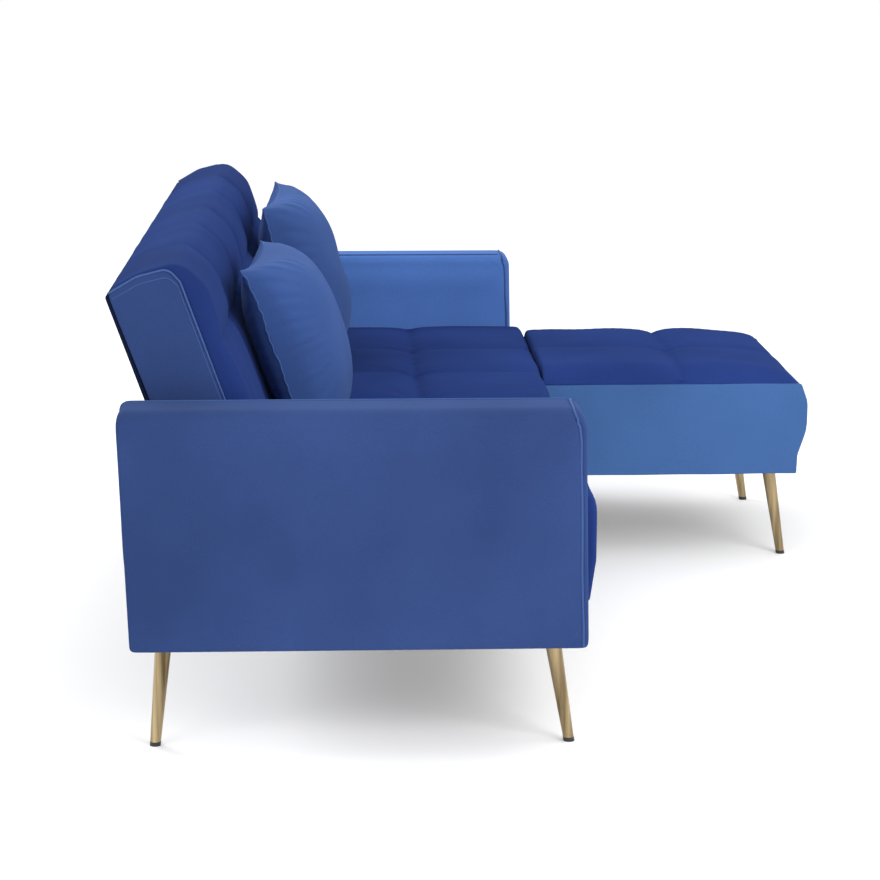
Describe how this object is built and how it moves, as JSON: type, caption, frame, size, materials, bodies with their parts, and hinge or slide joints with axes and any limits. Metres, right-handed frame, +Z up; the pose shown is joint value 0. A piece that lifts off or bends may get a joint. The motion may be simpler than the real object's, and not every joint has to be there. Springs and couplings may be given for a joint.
{
  "type": "sofa bed",
  "caption": "Click-clack futon sofa bed with slab arms, one full-width reclining backrest, tufted velvet seat, a tufted ottoman chaise, tapered metal legs and loose pillows.",
  "frame": {"origin": "on the floor, under the middle of the overall box of the sofa at rest", "axes": "+X along the sofa towards the chaise side, -Y towards the front, +Z up"},
  "size_m": [2, 1.3501, 0.7792],
  "materials": {
    "velvet": "short-pile velvet with a soft sheen",
    "piping": "velvet-covered piping",
    "timber": "planed softwood",
    "board": "plywood",
    "legs": "antique gold plating, softly polished",
    "steel": "zinc-plated pressed steel",
    "spring": "oiled spring steel",
    "glide": "black moulded plastic",
    "dust_cloth": "black non-woven cloth",
    "pillow_fill": "polyester fibre in a plain cloth"
  },
  "bodies": {
    "sofa": {"arm_cover_left": "velvet", "arm_cover_right": "velvet", "arm_piping_left": "piping", "arm_piping_right": "piping", "arm_frame_left": "timber", "arm_frame_right": "timber", "arm_boards_left": "board", "arm_boards_right": "board", "arm_bolts": "steel", "leg_front_left": "legs", "leg_front_right": "legs", "leg_rear_left": "legs", "leg_rear_right": "legs", "centre_legs": "legs", "leg_plates": "steel", "leg_glides": "glide", "seat_front_rail": "timber", "seat_rear_rail": "timber", "seat_side_rail_left": "timber", "seat_side_rail_right": "timber", "seat_cross_rails": "timber", "seat_slats": "board", "seat_pad": "velvet", "seat_front_strip": "velvet", "seat_rear_strip": "velvet", "seat_dust_cloth": "dust_cloth", "hinge_seat_plate_left": "steel", "hinge_seat_plate_right": "steel", "hinge_pins": "steel", "pawl_pins": "steel", "pawl_springs": "spring", "hinge_seat_screws": "steel", "connector_keepers": "steel"},
    "pawl_left": {"pawl_left": "steel"},
    "pawl_right": {"pawl_right": "steel"},
    "backrest": {"backrest_top_rail": "timber", "backrest_bottom_rail": "timber", "backrest_posts": "timber", "backrest_slats": "board", "backrest_pad": "velvet", "backrest_cover": "velvet", "hinge_back_plate_left": "steel", "hinge_back_plate_right": "steel", "hinge_back_screws": "steel"},
    "ottoman": {"ottoman_front_rail": "timber", "ottoman_rear_rail": "timber", "ottoman_side_rails": "timber", "ottoman_corner_blocks": "timber", "ottoman_deck": "board", "ottoman_pad": "velvet", "ottoman_side_cover": "velvet", "ottoman_dust_cloth": "dust_cloth", "ottoman_legs": "legs", "ottoman_leg_plates": "steel", "ottoman_glides": "glide", "connector_tongues": "steel"},
    "pillow_left": {"pillow_left": "velvet", "pillow_insert_left": "pillow_fill"},
    "pillow_right": {"pillow_right": "velvet", "pillow_insert_right": "pillow_fill"}
  },
  "joints": [
    {"name": "backrest_recline", "type": "hinge", "parent": "sofa", "child": "backrest", "pos_m": [0, 0.42604, 0.366], "axis": [-1, 0, 0], "range_deg": [0, 70.5]},
    {"name": "pawl_left_drop", "type": "hinge", "parent": "sofa", "child": "pawl_left", "pos_m": [-0.8554, 0.41466, 0.31164], "axis": [1, 0, 0], "range_deg": [-8, 0], "stiffness_Nm_per_rad": 0.5},
    {"name": "pawl_right_drop", "type": "hinge", "parent": "sofa", "child": "pawl_right", "pos_m": [0.8554, 0.41466, 0.31164], "axis": [1, 0, 0], "range_deg": [-8, 0], "stiffness_Nm_per_rad": 0.5},
    {"name": "ottoman_pull_off", "type": "slide", "parent": "sofa", "child": "ottoman", "axis": [0, -1, 0], "range_m": [0, 0.3]},
    {"name": "pillow_left_lift", "type": "slide", "parent": "backrest", "child": "pillow_left", "axis": [0, -0.9426, 0.3338], "range_m": [0, 0.35]},
    {"name": "pillow_right_lift", "type": "slide", "parent": "backrest", "child": "pillow_right", "axis": [0, -0.9426, 0.3338], "range_m": [0, 0.35]}
  ]
}
